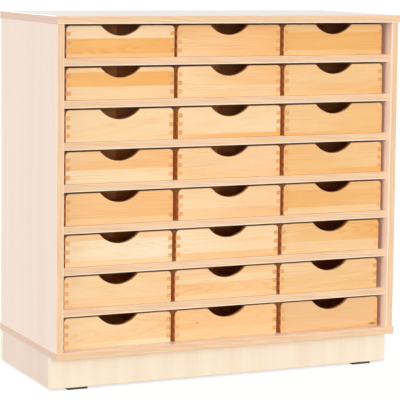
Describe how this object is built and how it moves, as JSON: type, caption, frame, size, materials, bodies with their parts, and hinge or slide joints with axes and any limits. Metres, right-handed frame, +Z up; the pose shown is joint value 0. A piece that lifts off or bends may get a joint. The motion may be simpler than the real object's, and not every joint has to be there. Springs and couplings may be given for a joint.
{
  "type": "classroom tray storage unit",
  "caption": "Free-standing cabinet with fixed shelves full of loose finger-jointed wooden trays, each with a half-round finger notch, on a set-back plinth.",
  "frame": {"origin": "on the floor, under the middle of the unit's bounding box", "axes": "+X to the right seen from the front, +Y to the back, +Z up; the trays come out along -Y"},
  "size_m": [0.888, 0.407, 0.8682],
  "materials": {
    "coated_board": "chipboard with a pale maple-look melamine surface, satin",
    "back_board": "thin board with a pale maple-look melamine surface, satin",
    "edging": "ABS edge strip with a maple print, satin",
    "tray_wood": "clear-lacquered solid alder or beech strips, satin",
    "batten_wood": "planed softwood",
    "dowel_wood": "beech",
    "glide_plastic": "black, moulded",
    "screw_steel": "zinc plated"
  },
  "bodies": {
    "cabinet": {"top_panel": "coated_board", "bottom_panel": "coated_board", "side_left": "coated_board", "side_right": "coated_board", "back_panel": "back_board", "shelf_1": "coated_board", "shelf_2": "coated_board", "shelf_3": "coated_board", "shelf_4": "coated_board", "shelf_5": "coated_board", "shelf_6": "coated_board", "shelf_7": "coated_board", "plinth_front": "coated_board", "plinth_back": "coated_board", "plinth_left": "coated_board", "plinth_right": "coated_board", "plinth_batten_front": "batten_wood", "plinth_batten_back": "batten_wood", "glide_front_left": "glide_plastic", "glide_front_right": "glide_plastic", "glide_back_left": "glide_plastic", "glide_back_right": "glide_plastic", "edging_top": "edging", "edging_bottom": "edging", "edging_side_left": "edging", "edging_side_right": "edging", "edging_shelves": "edging", "case_dowels": "dowel_wood", "shelf_dowels": "dowel_wood", "plinth_dowels": "dowel_wood", "plinth_screws": "screw_steel", "glide_screws": "screw_steel"},
    "tray_r1_c1": {"tray_r1_c1": "tray_wood"},
    "tray_r1_c2": {"tray_r1_c2": "tray_wood"},
    "tray_r1_c3": {"tray_r1_c3": "tray_wood"},
    "tray_r2_c1": {"tray_r2_c1": "tray_wood"},
    "tray_r2_c2": {"tray_r2_c2": "tray_wood"},
    "tray_r2_c3": {"tray_r2_c3": "tray_wood"},
    "tray_r3_c1": {"tray_r3_c1": "tray_wood"},
    "tray_r3_c2": {"tray_r3_c2": "tray_wood"},
    "tray_r3_c3": {"tray_r3_c3": "tray_wood"},
    "tray_r4_c1": {"tray_r4_c1": "tray_wood"},
    "tray_r4_c2": {"tray_r4_c2": "tray_wood"},
    "tray_r4_c3": {"tray_r4_c3": "tray_wood"},
    "tray_r5_c1": {"tray_r5_c1": "tray_wood"},
    "tray_r5_c2": {"tray_r5_c2": "tray_wood"},
    "tray_r5_c3": {"tray_r5_c3": "tray_wood"},
    "tray_r6_c1": {"tray_r6_c1": "tray_wood"},
    "tray_r6_c2": {"tray_r6_c2": "tray_wood"},
    "tray_r6_c3": {"tray_r6_c3": "tray_wood"},
    "tray_r7_c1": {"tray_r7_c1": "tray_wood"},
    "tray_r7_c2": {"tray_r7_c2": "tray_wood"},
    "tray_r7_c3": {"tray_r7_c3": "tray_wood"},
    "tray_r8_c1": {"tray_r8_c1": "tray_wood"},
    "tray_r8_c2": {"tray_r8_c2": "tray_wood"},
    "tray_r8_c3": {"tray_r8_c3": "tray_wood"}
  },
  "joints": [
    {"name": "tray_r1_c1_slide", "type": "slide", "parent": "cabinet", "child": "tray_r1_c1", "axis": [0, -1, 0], "range_m": [0, 0.41]},
    {"name": "tray_r1_c2_slide", "type": "slide", "parent": "cabinet", "child": "tray_r1_c2", "axis": [0, -1, 0], "range_m": [0, 0.41]},
    {"name": "tray_r1_c3_slide", "type": "slide", "parent": "cabinet", "child": "tray_r1_c3", "axis": [0, -1, 0], "range_m": [0, 0.41]},
    {"name": "tray_r2_c1_slide", "type": "slide", "parent": "cabinet", "child": "tray_r2_c1", "axis": [0, -1, 0], "range_m": [0, 0.41]},
    {"name": "tray_r2_c2_slide", "type": "slide", "parent": "cabinet", "child": "tray_r2_c2", "axis": [0, -1, 0], "range_m": [0, 0.41]},
    {"name": "tray_r2_c3_slide", "type": "slide", "parent": "cabinet", "child": "tray_r2_c3", "axis": [0, -1, 0], "range_m": [0, 0.41]},
    {"name": "tray_r3_c1_slide", "type": "slide", "parent": "cabinet", "child": "tray_r3_c1", "axis": [0, -1, 0], "range_m": [0, 0.41]},
    {"name": "tray_r3_c2_slide", "type": "slide", "parent": "cabinet", "child": "tray_r3_c2", "axis": [0, -1, 0], "range_m": [0, 0.41]},
    {"name": "tray_r3_c3_slide", "type": "slide", "parent": "cabinet", "child": "tray_r3_c3", "axis": [0, -1, 0], "range_m": [0, 0.41]},
    {"name": "tray_r4_c1_slide", "type": "slide", "parent": "cabinet", "child": "tray_r4_c1", "axis": [0, -1, 0], "range_m": [0, 0.41]},
    {"name": "tray_r4_c2_slide", "type": "slide", "parent": "cabinet", "child": "tray_r4_c2", "axis": [0, -1, 0], "range_m": [0, 0.41]},
    {"name": "tray_r4_c3_slide", "type": "slide", "parent": "cabinet", "child": "tray_r4_c3", "axis": [0, -1, 0], "range_m": [0, 0.41]},
    {"name": "tray_r5_c1_slide", "type": "slide", "parent": "cabinet", "child": "tray_r5_c1", "axis": [0, -1, 0], "range_m": [0, 0.41]},
    {"name": "tray_r5_c2_slide", "type": "slide", "parent": "cabinet", "child": "tray_r5_c2", "axis": [0, -1, 0], "range_m": [0, 0.41]},
    {"name": "tray_r5_c3_slide", "type": "slide", "parent": "cabinet", "child": "tray_r5_c3", "axis": [0, -1, 0], "range_m": [0, 0.41]},
    {"name": "tray_r6_c1_slide", "type": "slide", "parent": "cabinet", "child": "tray_r6_c1", "axis": [0, -1, 0], "range_m": [0, 0.41]},
    {"name": "tray_r6_c2_slide", "type": "slide", "parent": "cabinet", "child": "tray_r6_c2", "axis": [0, -1, 0], "range_m": [0, 0.41]},
    {"name": "tray_r6_c3_slide", "type": "slide", "parent": "cabinet", "child": "tray_r6_c3", "axis": [0, -1, 0], "range_m": [0, 0.41]},
    {"name": "tray_r7_c1_slide", "type": "slide", "parent": "cabinet", "child": "tray_r7_c1", "axis": [0, -1, 0], "range_m": [0, 0.41]},
    {"name": "tray_r7_c2_slide", "type": "slide", "parent": "cabinet", "child": "tray_r7_c2", "axis": [0, -1, 0], "range_m": [0, 0.41]},
    {"name": "tray_r7_c3_slide", "type": "slide", "parent": "cabinet", "child": "tray_r7_c3", "axis": [0, -1, 0], "range_m": [0, 0.41]},
    {"name": "tray_r8_c1_slide", "type": "slide", "parent": "cabinet", "child": "tray_r8_c1", "axis": [0, -1, 0], "range_m": [0, 0.41]},
    {"name": "tray_r8_c2_slide", "type": "slide", "parent": "cabinet", "child": "tray_r8_c2", "axis": [0, -1, 0], "range_m": [0, 0.41]},
    {"name": "tray_r8_c3_slide", "type": "slide", "parent": "cabinet", "child": "tray_r8_c3", "axis": [0, -1, 0], "range_m": [0, 0.41]}
  ]
}
